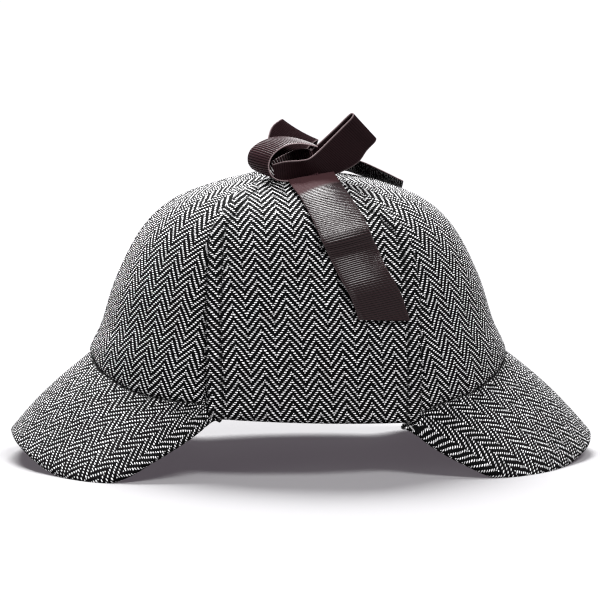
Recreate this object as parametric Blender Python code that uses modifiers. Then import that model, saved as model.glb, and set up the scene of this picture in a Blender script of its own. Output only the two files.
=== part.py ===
"""A deerstalker hat standing on its two brims, its ear flaps tied up over the crown.

The frame is in metres with +Z up. The origin is on the floor under the middle of the hat.
+X runs to the front brim, -X to the back brim, +Y to the left side and -Y to the right side.
The pieces are made round the middle of the crown and then moved together by HAT_SHIFT.
Angles on the crown are degrees from its front or back centre towards either side.
"""

import math

import bpy
import numpy as np
from mathutils import Matrix, Vector

HAT_SHIFT = -0.00225

# Crown
CROWN_TOP = 0.148
CLOTH = 0.002
SEAM_GAP = 0.0006
PANEL_PUFF = 0.0012
PUFF_REACH = 0.02
SIDE_SEAM = 63.0
PANEL_ROWS = 9
SIDE_COLUMNS = 8
APEX_HOLE = 0.0016

# The crown from its top down to the hem: drop below the top, half length, half width.
CROWN_PROFILE = (
    (0.0000, 0.0000, 0.0000),
    (0.0010, 0.0180, 0.0145),
    (0.0052, 0.0406, 0.0330),
    (0.0146, 0.0645, 0.0525),
    (0.0300, 0.0812, 0.0660),
    (0.0550, 0.0942, 0.0760),
    (0.0780, 0.1016, 0.0805),
    (0.0935, 0.1080, 0.0830),
    (0.1270, 0.1140, 0.0845),
)

# Brims
BRIM_CLOTH = 0.003
BRIM_GAP = 0.0003
BRIM_BULGE = 0.002
BRIM_ROWS = 7
TUCKED_POINTS = 3
TUCKED_RISE = 0.0020
PRESS_DEPTH = 0.0028
PRESS_REACH = 0.010
PRESS_FLAT = 0.0003

# Half of each brim from its centre to one end, which is tucked under the flap's hem:
# seam angle, seam height, then x, y and z of the outer edge.
FRONT_BRIM = (
    (0.0, 0.0545, 0.1544, 0.0000, 0.0101),
    (10.0, 0.0543, 0.1515, 0.0200, 0.0075),
    (18.0, 0.0535, 0.1450, 0.0365, 0.0050),
    (26.0, 0.0497, 0.1342, 0.0550, 0.0028),
    (34.0, 0.0443, 0.1200, 0.0745, 0.0018),
    (42.0, 0.0390, 0.1020, 0.0885, 0.0018),
    (48.0, 0.0365, 0.0872, 0.0925, 0.0035),
    (54.0, 0.0340, 0.0726, 0.0895, 0.0085),
    (58.0, 0.0318, 0.0620, 0.0862, 0.0138),
    (60.0, 0.0300, 0.0560, 0.0842, 0.0170),
    (61.6, 0.0253, 0.0522, 0.0825, 0.0192),
    (66.5, 0.0253, 0.0462, 0.0797, 0.0237),
)
BACK_BRIM = (
    (0.0, 0.0555, 0.1499, 0.0000, 0.0143),
    (8.0, 0.0538, 0.1481, 0.0200, 0.0120),
    (14.0, 0.0513, 0.1443, 0.0330, 0.0090),
    (20.0, 0.0487, 0.1390, 0.0470, 0.0062),
    (27.0, 0.0472, 0.1318, 0.0600, 0.0036),
    (35.0, 0.0460, 0.1200, 0.0770, 0.0020),
    (42.0, 0.0445, 0.1070, 0.0882, 0.0020),
    (48.0, 0.0425, 0.0921, 0.0908, 0.0055),
    (54.0, 0.0412, 0.0784, 0.0890, 0.0120),
    (58.0, 0.0403, 0.0650, 0.0858, 0.0190),
    (60.4, 0.0393, 0.0560, 0.0828, 0.0238),
    (62.3, 0.0289, 0.0510, 0.0810, 0.0268),
    (66.0, 0.0287, 0.0467, 0.0798, 0.0284),
)

# Ear flaps
FLAP_CLOTH = 0.0024
FLAP_GAP = 0.0006
FLAP_FOLD = 0.0026
FOLD_STEPS = 4
FLAP_COLUMNS = 10
HEM_HEIGHT = 0.0279
HEM_SLOPE = -0.033
HEM_REACH = 0.03
CROWN_TO_HEM = 0.0031

# The outline of a flap from its hem up to its tip: height, then x at its back edge and its
# front edge, where the crown lies under them.
FLAP_OUTLINE = (
    (0.0279, -0.0515, 0.0536),
    (0.0600, -0.0522, 0.0543),
    (0.0900, -0.0512, 0.0541),
    (0.1100, -0.0499, 0.0522),
    (0.1190, -0.0488, 0.0492),
    (0.1250, -0.0455, 0.0443),
    (0.1310, -0.0402, 0.0364),
    (0.1370, -0.0343, 0.0276),
    (0.1412, -0.0257, 0.0192),
    (0.1450, -0.0122, 0.0083),
)

# Ribbon
RIBBON_WIDTH = 0.022
RIBBON_CLOTH = 0.001
RIBBON_COLUMNS = 4
RIBBON_STEPS = 3
LONG_TAIL_SPAN = 0.0245
KNOT_CORNERS = ((-0.0030, -0.0240, 0.1484), (0.0095, -0.0010, 0.1570))
KNOT_ROUND = 0.003

# Paths of the middle of each ribbon: x, y, z.
LOOP_BACK = (
    (0.0045, -0.0243, 0.1612),
    (-0.0010, -0.0243, 0.1645),
    (-0.0075, -0.0243, 0.1657),
    (-0.0143, -0.0243, 0.1650),
    (-0.0203, -0.0243, 0.1615),
    (-0.0225, -0.0243, 0.1562),
    (-0.0213, -0.0243, 0.1508),
    (-0.0165, -0.0243, 0.1484),
    (-0.0105, -0.0235, 0.1512),
    (-0.0050, -0.0225, 0.1534),
)
LOOP_FRONT = (
    (0.0135, -0.0168, 0.1530),
    (0.0180, -0.0163, 0.1566),
    (0.0240, -0.0160, 0.1626),
    (0.0300, -0.0157, 0.1690),
    (0.0314, -0.0147, 0.1710),
    (0.0289, -0.0136, 0.1702),
    (0.0229, -0.0139, 0.1638),
    (0.0169, -0.0142, 0.1578),
    (0.0124, -0.0147, 0.1542),
)
LEAD = (
    (-0.0030, -0.0010, 0.1630),
    (-0.0045, 0.0015, 0.1665),
    (-0.0025, 0.0070, 0.1698),
    (0.0010, 0.0130, 0.1690),
    (0.0030, 0.0185, 0.1620),
    (0.0025, 0.0225, 0.1540),
    (0.0010, 0.0262, 0.1490),
)
SHORT_TAIL = (
    (0.0102, 0.0050, 0.1515),
    (0.0180, 0.0055, 0.1532),
    (0.0300, 0.0058, 0.1527),
    (0.0400, 0.0065, 0.1490),
    (0.0500, 0.0085, 0.1438),
    (0.0560, 0.0095, 0.1404),
)

# The long tail lies over the right flap: height on the crown, x, lift off the crown.
LONG_TAIL = (
    (0.1452, 0.0030, 0.0042),
    (0.1435, 0.0037, 0.0042),
    (0.1375, 0.0085, 0.0042),
    (0.1280, 0.0133, 0.0050),
    (0.1200, 0.0168, 0.0042),
    (0.1090, 0.0215, 0.0062),
    (0.1000, 0.0262, 0.0044),
    (0.0910, 0.0308, 0.0052),
    (0.0805, 0.0352, 0.0042),
)

TWEED = (0.10, 0.10, 0.105, 1.0)
RIBBON_BROWN = (0.050, 0.024, 0.024, 1.0)


def clear_scene():
    for found in list(bpy.data.objects):
        bpy.data.objects.remove(found, do_unlink=True)


def new_material(name, colour, roughness):
    material = bpy.data.materials.new(name)
    material.use_nodes = True
    shader = material.node_tree.nodes["Principled BSDF"]
    shader.inputs["Base Color"].default_value = colour
    shader.inputs["Roughness"].default_value = roughness
    shader.inputs["Metallic"].default_value = 0.0
    return material


def along(rows, t):
    """The point at t, counted in rows from 0, on the smooth curve through all the rows."""
    rows = np.asarray(rows, float)
    i = min(int(t), len(rows) - 2)
    f = t - i
    here, after = rows[i], rows[i + 1]
    before = rows[i - 1] if i > 0 else 2 * here - after
    beyond = rows[i + 2] if i + 2 < len(rows) else 2 * after - here
    bend = 2 * before - 5 * here + 4 * after - beyond
    twist = 3 * here - before - 3 * after + beyond
    return 0.5 * (2 * here + (after - before) * f + bend * f ** 2 + twist * f ** 3)


def smooth(rows, steps):
    """All the points of that curve, with `steps` points to each gap between rows."""
    gaps = len(rows) - 1
    return np.array([along(rows, k / steps) for k in range(gaps * steps + 1)])


PROFILE = smooth(CROWN_PROFILE, 12)


def crown_size(height):
    """Half the crown's length and half its width at a height."""
    drop = CROWN_TOP - height
    half_length = np.interp(drop, PROFILE[:, 0], PROFILE[:, 1])
    half_width = np.interp(drop, PROFILE[:, 0], PROFILE[:, 2])
    return half_length, half_width


def puff(height, degrees):
    """How far a panel swells between its seams."""
    if degrees <= SIDE_SEAM:
        share = degrees / SIDE_SEAM
    else:
        share = (degrees - SIDE_SEAM) / (180.0 - 2 * SIDE_SEAM)
    fade = min(1.0, max(0.0, CROWN_TOP - height) / PUFF_REACH)
    return PANEL_PUFF * fade * math.sin(math.pi * share) ** 2


def crown_base(height, degrees):
    half_length, half_width = crown_size(height)
    turn = math.radians(degrees)
    return np.array((half_length * math.cos(turn), half_width * math.sin(turn), height))


def crown_point(height, degrees, lift=0.0):
    """A point on the crown's outer surface, lifted off it by `lift`."""
    rise = crown_base(height + 0.0004, degrees) - crown_base(height - 0.0004, degrees)
    turn = crown_base(height, degrees + 0.5) - crown_base(height, degrees - 0.5)
    normal = np.cross(turn, rise)
    normal /= np.linalg.norm(normal)
    return crown_base(height, degrees) + (puff(height, degrees) + lift) * normal


def point_at_x(height, x, lift):
    """The point of the crown's side at a height and an x."""
    half_length = crown_size(height)[0]
    degrees = math.degrees(math.acos(max(-1.0, min(1.0, x / half_length))))
    return crown_point(height, degrees, lift)


def hem_height(x):
    """The height of a flap's fold, which drops slightly towards the front."""
    return HEM_HEIGHT + HEM_SLOPE * x


def grid_object(name, points, material, collection, mirror=(1, 1)):
    """An open sheet through rows of points, mirrored in x and y as `mirror` says."""
    rows, columns = len(points), len(points[0])
    vertices = [(mirror[0] * x, mirror[1] * y, z) for row in points for x, y, z in row]
    faces = [
        (i * columns + j, i * columns + j + 1, (i + 1) * columns + j + 1, (i + 1) * columns + j)
        for i in range(rows - 1)
        for j in range(columns - 1)
    ]
    if mirror[0] * mirror[1] < 0:
        faces = [face[::-1] for face in faces]
    mesh = bpy.data.meshes.new(name)
    mesh.from_pydata(vertices, [], faces)
    mesh.shade_smooth()
    mesh.materials.append(material)
    made = bpy.data.objects.new(name, mesh)
    collection.objects.link(made)
    return made


def thicken(sheet, thickness, offset=-1.0):
    """Gives a sheet its cloth; the offset is -1 for all of it behind the faces."""
    solid = sheet.modifiers.new("cloth", "SOLIDIFY")
    solid.thickness = thickness
    solid.offset = offset
    solid.use_even_offset = False
    return sheet


def meridian_heights(degrees, edge):
    """Heights down one meridian of the crown, evenly spaced along the cloth."""
    drops = PROFILE[:, 0][PROFILE[:, 0] <= CROWN_TOP - edge]
    heights = np.append(CROWN_TOP - drops, edge)
    places = np.array([crown_base(height, degrees) for height in heights])
    lengths = np.append(0.0, np.cumsum(np.linalg.norm(np.diff(places, axis=0), axis=1)))
    stops = np.linspace(APEX_HOLE, lengths[-1], PANEL_ROWS + 1)
    return np.interp(stops, lengths, heights)


def seam_margin(height, degrees):
    """The angle that half a seam gap takes up at a height."""
    half_length, half_width = crown_size(height)
    turn = math.radians(degrees)
    radius = math.hypot(half_length * math.sin(turn), half_width * math.cos(turn))
    return math.degrees(0.5 * SEAM_GAP / radius)


def crown_panel(name, columns, mirror, material, collection):
    """A panel with a column of cloth for each pair of an angle and a lower edge's height."""
    first, last = columns[0][0], columns[-1][0]
    cloth = []
    for degrees, edge in columns:
        share = (degrees - first) / (last - first)
        column = []
        for height in meridian_heights(degrees, edge):
            margin = (1 - 2 * share) * seam_margin(height, degrees)
            column.append(crown_point(height, degrees + margin))
        cloth.append(column)
    points = [[column[i] for column in cloth] for i in range(PANEL_ROWS, -1, -1)]
    panel = grid_object("crown_panel_" + name, points, material, collection, mirror)
    return thicken(panel, CLOTH)


def brim_half(brim_table):
    """The sections of half a brim, smoothed together with its mirror image."""
    mirrored = [(-angle, height, x, -y, z) for angle, height, x, y, z in brim_table[:0:-1]]
    whole = smooth((*mirrored, *brim_table), 2)
    return whole[2 * len(mirrored):]


def end_panel_columns(brim_table, facing):
    """A front or back panel's columns, which follow the brim as far as the flap's edge."""
    seam_x = facing * crown_base(HEM_HEIGHT, SIDE_SEAM)[0]
    over_hem = hem_height(seam_x) + CROWN_TO_HEM
    shown = brim_half(brim_table)[:-TUCKED_POINTS]
    columns = [(row[0], row[1]) for row in shown[:-1]]
    columns.append((shown[-1][0], max(shown[-1][1], over_hem) + TUCKED_RISE))
    columns.append((SIDE_SEAM, over_hem))
    return columns


def side_panel_columns():
    angles = np.linspace(SIDE_SEAM, 180.0 - SIDE_SEAM, SIDE_COLUMNS + 1)
    places = [(degrees, crown_base(HEM_HEIGHT, degrees)[0]) for degrees in angles]
    return [(degrees, hem_height(x) + CROWN_TO_HEM) for degrees, x in places]


def press_on_floor(sheet):
    """Makes a sheet's cloth real and flattens what would reach the floor."""
    graph = bpy.context.evaluated_depsgraph_get()
    pressed = bpy.data.meshes.new_from_object(sheet.evaluated_get(graph))
    sheet.modifiers.clear()
    sheet.data = pressed
    for vertex in pressed.vertices:
        left = min(max(vertex.co.z / PRESS_REACH, 0.0), 1.0)
        height = vertex.co.z - PRESS_DEPTH * (1 - left) ** 2
        vertex.co.z = height if height > PRESS_FLAT else 0.0


def brim_point(section, end_share, side, row_share):
    """A point on a brim's upper side, from its seam (row 0) to its outer edge (row 1)."""
    degrees, height = section[0], section[1] - BRIM_GAP
    inner = crown_point(height, degrees)
    outer = section[2:5]
    bulge = BRIM_BULGE * math.sin(math.pi * row_share) * (1 - end_share ** 4)
    point = inner + (outer - inner) * row_share + bulge * np.array((0.6, 0.0, 0.8))
    return point[0], side * point[1], point[2]


def brim(name, brim_table, facing, material, collection):
    half = brim_half(brim_table)
    steps = len(half) - 1
    points = []
    for i in range(BRIM_ROWS):
        row = []
        for j in range(-steps, steps + 1):
            side = math.copysign(1.0, j)
            row.append(brim_point(half[abs(j)], abs(j) / steps, side, i / (BRIM_ROWS - 1)))
        points.append(row)
    points.reverse()
    sheet = grid_object(name, points, material, collection, (facing, 1))
    thicken(sheet, BRIM_CLOTH)
    press_on_floor(sheet)
    return sheet


def rolled_hem(x):
    """Heights and lifts round a flap's fold, from inside the crown to its outer face."""
    hem = hem_height(x)
    outside = FLAP_GAP + FLAP_CLOTH
    section = [(hem, 0.0002 - CLOTH), (hem, outside - FLAP_FOLD)]
    for k in range(1, FOLD_STEPS + 1):
        bend = math.radians(90 * k / FOLD_STEPS)
        lift = outside - FLAP_FOLD * (1 - math.sin(bend))
        section.append((hem + FLAP_FOLD * (1 - math.cos(bend)), lift))
    return section


def ear_flap(name, side, material, collection):
    outside = FLAP_GAP + FLAP_CLOTH
    shares = np.linspace(1.0, 0.0, FLAP_COLUMNS + 1)
    back, front = FLAP_OUTLINE[0][1:]
    points = []
    for k in range(FOLD_STEPS + 2):
        row = []
        for share in shares:
            x = back + (front - back) * share
            height, lift = rolled_hem(x)[k]
            row.append(point_at_x(height, x, lift))
        points.append(row)
    for height, back, front in smooth(FLAP_OUTLINE, 2)[1:]:
        fade = max(0.0, 1 - (height - HEM_HEIGHT) / HEM_REACH)
        row = []
        for share in shares:
            x = back + (front - back) * share
            row.append(point_at_x(height + fade * HEM_SLOPE * x, x, outside))
        points.append(row)
    flap = grid_object(name, points, material, collection, (1, side))
    return thicken(flap, FLAP_CLOTH)


def ribbon(name, path, across_start, across_end, material, collection):
    """A strip of ribbon along a path; `across` is the way its width runs at each end."""
    centre = smooth(path, RIBBON_STEPS)
    points = []
    for k, place in enumerate(centre):
        share = k / (len(centre) - 1)
        across = np.array(Vector(across_start).lerp(Vector(across_end), share).normalized())
        offsets = np.linspace(-0.5, 0.5, RIBBON_COLUMNS + 1) * RIBBON_WIDTH
        points.append([place + offset * across for offset in offsets])
    strip = grid_object(name, points, material, collection)
    return thicken(strip, RIBBON_CLOTH, 0.0)


def long_tail(material, collection):
    points = []
    for height, x, lift in smooth(LONG_TAIL, 2):
        offsets = np.linspace(-0.5, 0.5, RIBBON_COLUMNS + 1) * LONG_TAIL_SPAN
        points.append([point_at_x(height, x + offset, lift) for offset in offsets])
    strip = grid_object("ribbon_tail_long", points, material, collection, (1, -1))
    return thicken(strip, RIBBON_CLOTH, 0.0)


def knot(material, collection):
    low, high = (Vector(corner) for corner in KNOT_CORNERS)
    bpy.ops.mesh.primitive_cube_add(size=1.0, location=(low + high) / 2)
    made = bpy.context.object
    made.name = "ribbon_knot"
    made.data.transform(Matrix.Diagonal((*(high - low), 1.0)))
    made.data.materials.append(material)
    made.data.shade_smooth()
    rounding = made.modifiers.new("rounding", "BEVEL")
    rounding.width = KNOT_ROUND
    rounding.segments = 3
    made.users_collection[0].objects.unlink(made)
    collection.objects.link(made)
    return made


def build_ribbon(material, collection):
    slant = (-0.39, 0.89, 0.08)
    lean = (0.0118, 0.0130, -0.0095)
    ribbon("ribbon_loop_back", LOOP_BACK, slant, slant, material, collection)
    ribbon("ribbon_loop_front", LOOP_FRONT, lean, lean, material, collection)
    ribbon("ribbon_lead", LEAD, (0.9, -0.1, -0.45), (1.0, 0.0, 0.0), material, collection)
    ribbon("ribbon_tail_short", SHORT_TAIL, (0.0, 1.0, 0.0), (0.02, 1.0, 0.06), material, collection)
    long_tail(material, collection)
    knot(material, collection)


def build():
    clear_scene()
    hat = bpy.data.collections.new("deerstalker_hat")
    bpy.context.scene.collection.children.link(hat)
    tweed = new_material("herringbone_tweed", TWEED, 0.9)
    brown = new_material("ribbon", RIBBON_BROWN, 0.55)
    for side_name, side in (("left", 1), ("right", -1)):
        crown_panel("front_" + side_name, end_panel_columns(FRONT_BRIM, 1), (1, side), tweed, hat)
        crown_panel("side_" + side_name, side_panel_columns(), (1, side), tweed, hat)
        crown_panel("back_" + side_name, end_panel_columns(BACK_BRIM, -1), (-1, side), tweed, hat)
        ear_flap("ear_flap_" + side_name, side, tweed, hat)
    brim("brim_front", FRONT_BRIM, 1, tweed, hat)
    brim("brim_back", BACK_BRIM, -1, tweed, hat)
    build_ribbon(brown, hat)
    for piece in hat.objects:
        piece.location.x += HAT_SHIFT


build()
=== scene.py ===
"""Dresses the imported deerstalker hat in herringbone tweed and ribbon, and lights it.

Metres, +Z up: +X is the front brim, -X the back brim, +Y the wearer's left and -Y the right.
The shapes follow the part's solids with finer cloth. The back brim's seam, the ends of both brims
and the long end of the ribbon keep closer to the photo than the solids do. All are made round the
middle of the crown and moved together by HAT_SHIFT at the end.
"""

import math

import bpy
import numpy as np
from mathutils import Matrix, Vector


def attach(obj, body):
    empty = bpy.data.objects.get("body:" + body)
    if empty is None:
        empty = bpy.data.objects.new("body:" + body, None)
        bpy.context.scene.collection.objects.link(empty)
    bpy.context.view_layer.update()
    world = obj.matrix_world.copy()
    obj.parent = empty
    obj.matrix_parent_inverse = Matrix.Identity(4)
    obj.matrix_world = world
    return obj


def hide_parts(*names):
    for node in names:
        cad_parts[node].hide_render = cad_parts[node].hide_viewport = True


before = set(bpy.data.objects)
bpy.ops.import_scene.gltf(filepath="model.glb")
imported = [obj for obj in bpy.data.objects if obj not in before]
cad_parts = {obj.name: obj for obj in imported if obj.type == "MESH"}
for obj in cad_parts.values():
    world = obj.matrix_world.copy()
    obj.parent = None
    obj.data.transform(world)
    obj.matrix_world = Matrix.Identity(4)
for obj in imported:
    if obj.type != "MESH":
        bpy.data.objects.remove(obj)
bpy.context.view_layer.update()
scene = bpy.context.scene

HAT_SHIFT = -0.00225

# -------- tables of the shapes

CROWN_TOP = 0.148
CLOTH = 0.002
SEAM_GAP = 0.0006
PANEL_PUFF = 0.0012
PUFF_REACH = 0.02
SIDE_SEAM = 63.0

# The crown from its top down: drop, half length and half width.
CROWN_PROFILE = (
    (0.0, 0.0, 0.0),
    (0.001, 0.018, 0.0145),
    (0.0052, 0.0406, 0.033),
    (0.0146, 0.0645, 0.0525),
    (0.03, 0.0812, 0.066),
    (0.055, 0.0942, 0.076),
    (0.078, 0.1016, 0.0805),
    (0.0935, 0.108, 0.083),
    (0.127, 0.114, 0.0845),
)

BRIM_CLOTH = 0.003
BRIM_GAP = 0.0003
BRIM_BULGE = 0.002
SEAM_LAP = 0.0012
LAP_END = 60.6
PRESS_DEPTH = 0.0028
PRESS_REACH = 0.01
PRESS_FLAT = 0.0003

# Half a brim: seam angle, seam height, then x, y and z of the outer edge.
FRONT_BRIM = (
    (0.0, 0.0545, 0.1544, 0.0, 0.0101),
    (10.0, 0.054, 0.1515, 0.02, 0.0075),
    (18.0, 0.0512, 0.145, 0.0365, 0.005),
    (26.0, 0.0472, 0.1342, 0.055, 0.0028),
    (34.0, 0.0434, 0.12, 0.0745, 0.0018),
    (42.0, 0.0394, 0.102, 0.0885, 0.0018),
    (48.0, 0.0378, 0.0872, 0.0925, 0.0035),
    (54.0, 0.0354, 0.0726, 0.0895, 0.0085),
    (58.0, 0.0332, 0.062, 0.0862, 0.014),
    (60.0, 0.0318, 0.056, 0.084, 0.018),
    (61.6, 0.0306, 0.0525, 0.0818, 0.0202),
    (62.8, 0.0268, 0.0508, 0.0806, 0.0214),
    (66.5, 0.0256, 0.0462, 0.0782, 0.025),
)
BACK_BRIM = (
    (0.0, 0.0555, 0.1499, 0.0, 0.0143),
    (8.0, 0.0538, 0.1481, 0.02, 0.012),
    (14.0, 0.0508, 0.1443, 0.033, 0.009),
    (20.0, 0.0486, 0.139, 0.047, 0.0062),
    (27.0, 0.046, 0.1318, 0.06, 0.0036),
    (35.0, 0.0424, 0.12, 0.077, 0.002),
    (42.0, 0.0404, 0.107, 0.0882, 0.002),
    (48.0, 0.039, 0.0921, 0.0908, 0.0055),
    (54.0, 0.0384, 0.0784, 0.089, 0.012),
    (58.0, 0.0381, 0.065, 0.0858, 0.0194),
    (60.4, 0.0378, 0.056, 0.0824, 0.0249),
    (61.8, 0.0374, 0.0527, 0.08, 0.0268),
    (63.0, 0.033, 0.05, 0.078, 0.0287),
    (66.0, 0.03, 0.0467, 0.0768, 0.03),
)

FLAP_CLOTH = 0.0024
FLAP_GAP = 0.0006
FLAP_FOLD = 0.0026
HEM_HEIGHT = 0.0279
HEM_SLOPE = -0.033
HEM_REACH = 0.03
CROWN_TO_HEM = 0.0031

# A flap's outline, hem to tip: height, x at its back edge, x at its front edge.
FLAP_OUTLINE = (
    (0.0279, -0.0515, 0.0536),
    (0.06, -0.0522, 0.0543),
    (0.09, -0.0512, 0.0541),
    (0.11, -0.0499, 0.0522),
    (0.119, -0.0488, 0.0492),
    (0.125, -0.0455, 0.0443),
    (0.131, -0.0402, 0.0364),
    (0.137, -0.0343, 0.0276),
    (0.1412, -0.0257, 0.0192),
    (0.145, -0.0122, 0.0083),
)

# Both edges of each ribbon, in tenths of a millimetre: x, y and z of one, then of the other.
LOOP_BACK = (
    (73, -300, 1620, 16, -105, 1637),
    (19, -330, 1635, -38, -125, 1656),
    (-33, -345, 1641, -96, -140, 1664),
    (-84, -345, 1634, -158, -140, 1658),
    (-130, -345, 1611, -214, -140, 1635),
    (-163, -345, 1579, -256, -145, 1602),
    (-179, -345, 1543, -272, -145, 1564),
    (-179, -350, 1508, -267, -145, 1525),
    (-162, -355, 1475, -237, -155, 1500),
    (-126, -360, 1455, -176, -165, 1526),
    (-66, -365, 1450, -95, -180, 1573),
    (6, -365, 1452, -19, -200, 1604),
    (78, -360, 1461, 52, -205, 1604),
)
LOOP_FRONT = (
    (-160, -335, 1537, -150, -338, 1453),
    (-102, -375, 1555, -94, -345, 1453),
    (-28, -395, 1561, 4, -330, 1454),
    (20, -375, 1569, 105, -290, 1463),
    (69, -345, 1603, 198, -240, 1487),
    (134, -310, 1661, 289, -190, 1530),
    (198, -285, 1720, 341, -160, 1592),
    (253, -270, 1775, 387, -140, 1637),
    (243, -250, 1787, 382, -120, 1651),
    (170, -255, 1719, 313, -130, 1598),
    (91, -275, 1649, 232, -160, 1528),
    (33, -300, 1602, 178, -190, 1494),
)
LEAD = (
    (-179, -200, 1487, -50, -140, 1410),
    (-182, -180, 1547, -18, -130, 1461),
    (-174, -150, 1612, 10, -110, 1511),
    (-166, -120, 1662, 29, -80, 1550),
    (-140, -60, 1715, 55, -20, 1603),
    (-86, 20, 1746, 110, 60, 1634),
    (-78, 90, 1728, 113, 120, 1612),
    (-85, 160, 1675, 112, 180, 1575),
    (-92, 215, 1600, 118, 225, 1535),
    (-100, 262, 1505, 120, 265, 1490),
)
SHORT_TAIL = (
    (102, -20, 1535, 120, 160, 1465),
    (166, -10, 1544, 190, 175, 1472),
    (245, 0, 1543, 271, 185, 1465),
    (328, 0, 1527, 345, 190, 1441),
    (429, 10, 1482, 453, 205, 1410),
    (553, 20, 1420, 570, 215, 1369),
)
LONG_TAIL = (
    (-91, -200, 1476, 151, -200, 1511),
    (-78, -442, 1438, 170, -357, 1463),
    (-42, -546, 1384, 198, -476, 1413),
    (-2, -647, 1302, 242, -580, 1337),
    (26, -717, 1232, 275, -650, 1275),
    (51, -767, 1171, 294, -699, 1223),
    (72, -760, 1126, 313, -692, 1177),
    (97, -755, 1075, 339, -684, 1126),
    (123, -794, 1019, 359, -725, 1070),
    (150, -827, 967, 386, -756, 1017),
    (179, -835, 912, 418, -760, 962),
    (202, -829, 857, 450, -751, 901),
    (223, -823, 796, 471, -742, 839),
    (240, -824, 730, 492, -740, 776),
)
TENTHS_IN_METRE = 10000
TAIL_SLANT = 0.0062
# Where the long tail's ribs don't show, from its start; a lighter, plain brown is painted there in
# place of the sheen.
TAIL_PLAIN = (0.0335, 0.0265)

# -------- how fine the cloth is

CROWN_ROWS = 92
END_COLUMNS = 66
SIDE_COLUMNS = 40
APEX_HOLE = 0.0003
BRIM_ROWS = 62
BRIM_STEPS = 9
RIM_STEPS = 8
FLAP_ROWS = 96
FOLD_STEPS = 10

# Ribbon: its thickness, and how far apart and how high its ribs are. LOW_RIB is for the ribbons
# that show hardly any.
RIBBON_CLOTH = 0.0007
RIB_PITCH = 0.00118
RIB_SAMPLES = 8
RIB_HEIGHT = 0.0002
LOW_RIB = 0.00007

# Weave: eight warp threads make a column, and the twill turns back in the next one.
WARP_PITCH = 0.000805
WEFT_PITCH = 0.00102
WARPS_IN_COLUMN = 8


# -------- curves and the crown

def unit(vectors):
    return vectors / np.linalg.norm(vectors, axis=-1, keepdims=True).clip(1e-12)


def clamp(values):
    return np.clip(values, 0.0, 1.0)


def along(rows, t):
    """The point at t, counted in rows from 0, on the smooth curve through all the rows."""
    rows = np.asarray(rows, float)
    i = min(int(t), len(rows) - 2)
    f = t - i
    here, after = rows[i], rows[i + 1]
    before = rows[i - 1] if i > 0 else 2 * here - after
    beyond = rows[i + 2] if i + 2 < len(rows) else 2 * after - here
    bend = 2 * before - 5 * here + 4 * after - beyond
    twist = 3 * here - before - 3 * after + beyond
    return 0.5 * (2 * here + (after - before) * f + bend * f ** 2 + twist * f ** 3)


def smooth(rows, steps):
    """The same curve as many points, `steps` to each gap between rows."""
    gaps = len(rows) - 1
    return np.array([along(rows, k / steps) for k in range(gaps * steps + 1)])


FINE_STEPS = 12
PROFILE = smooth(CROWN_PROFILE, FINE_STEPS)

# How far apart the points are that a normal of the crown is taken from: height and degrees.
NORMAL_RISE = 0.0004
NORMAL_TURN = 0.5


def crown_size(height):
    drop = CROWN_TOP - height
    half_length = np.interp(drop, PROFILE[:, 0], PROFILE[:, 1])
    half_width = np.interp(drop, PROFILE[:, 0], PROFILE[:, 2])
    return half_length, half_width


def puff(height, degrees):
    """How far a panel stands out between its seams."""
    share = np.where(
        degrees <= SIDE_SEAM,
        degrees / SIDE_SEAM,
        (degrees - SIDE_SEAM) / (180.0 - 2 * SIDE_SEAM),
    )
    fade = clamp((CROWN_TOP - height) / PUFF_REACH)
    return PANEL_PUFF * fade * np.sin(math.pi * share) ** 2


def crown_base(height, degrees):
    half_length, half_width = crown_size(height)
    turn = np.radians(degrees)
    x = half_length * np.cos(turn)
    y = half_width * np.sin(turn)
    return np.stack(np.broadcast_arrays(x, y, height), axis=-1)


def crown_normal(height, degrees):
    above, below = (crown_base(height + step, degrees) for step in (NORMAL_RISE, -NORMAL_RISE))
    after, before = (crown_base(height, degrees + step) for step in (NORMAL_TURN, -NORMAL_TURN))
    return unit(np.cross(after - before, above - below))


def crown_point(height, degrees, lift=0.0):
    height, degrees, lift = (
        value.astype(float) for value in np.broadcast_arrays(height, degrees, lift)
    )
    raised = (puff(height, degrees) + lift)[..., None]
    return crown_base(height, degrees) + raised * crown_normal(height, degrees)


def point_at_x(height, x, lift):
    half_length = crown_size(height)[0]
    degrees = np.degrees(np.arccos(np.clip(x / half_length, -1.0, 1.0)))
    return crown_point(height, degrees, lift)


def hem_height(x):
    return HEM_HEIGHT + HEM_SLOPE * x


def ripple(a, b, seed, wave, waves=7):
    """A soft unevenness from -1 to 1 over two lengths, the same on every run."""
    dice = np.random.default_rng(seed)
    total = np.zeros(np.broadcast(a, b).shape)
    for _ in range(waves):
        turn, phase = dice.uniform(0, 2 * math.pi, 2)
        size = wave * dice.uniform(0.7, 1.6)
        total += np.sin(2 * math.pi * (a * math.cos(turn) + b * math.sin(turn)) / size + phase)
    return total / waves ** 0.5 / 1.6


def bump_at(distance, place, width):
    """A smooth bump of height 1 at a place."""
    return np.exp(-(((distance - place) / width) ** 2))


def seam_lift(distance, depth, width, swell, place, reach):
    """Cloth pressed in along a seam, with a low swell beside it."""
    return -depth * bump_at(distance, 0.0, width) + swell * bump_at(distance, place, reach)


def steps_along(points, axis):
    """Lengths from the first point on, along one axis of a grid of points."""
    gaps = np.linalg.norm(np.diff(points, axis=axis), axis=-1)
    start = np.zeros_like(np.take(gaps, [0], axis=axis))
    return np.concatenate([start, np.cumsum(gaps, axis=axis)], axis=axis)


# -------- meshes

# Edges sharper than this many degrees aren't smoothed.
SHARP_FROM = 60.0

# How far the weave runs on over a cut edge.
EDGE_WEAVE = 0.002


def add_object(name, data):
    made = bpy.data.objects.new(name, data)
    scene.collection.objects.link(made)
    return made


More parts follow.
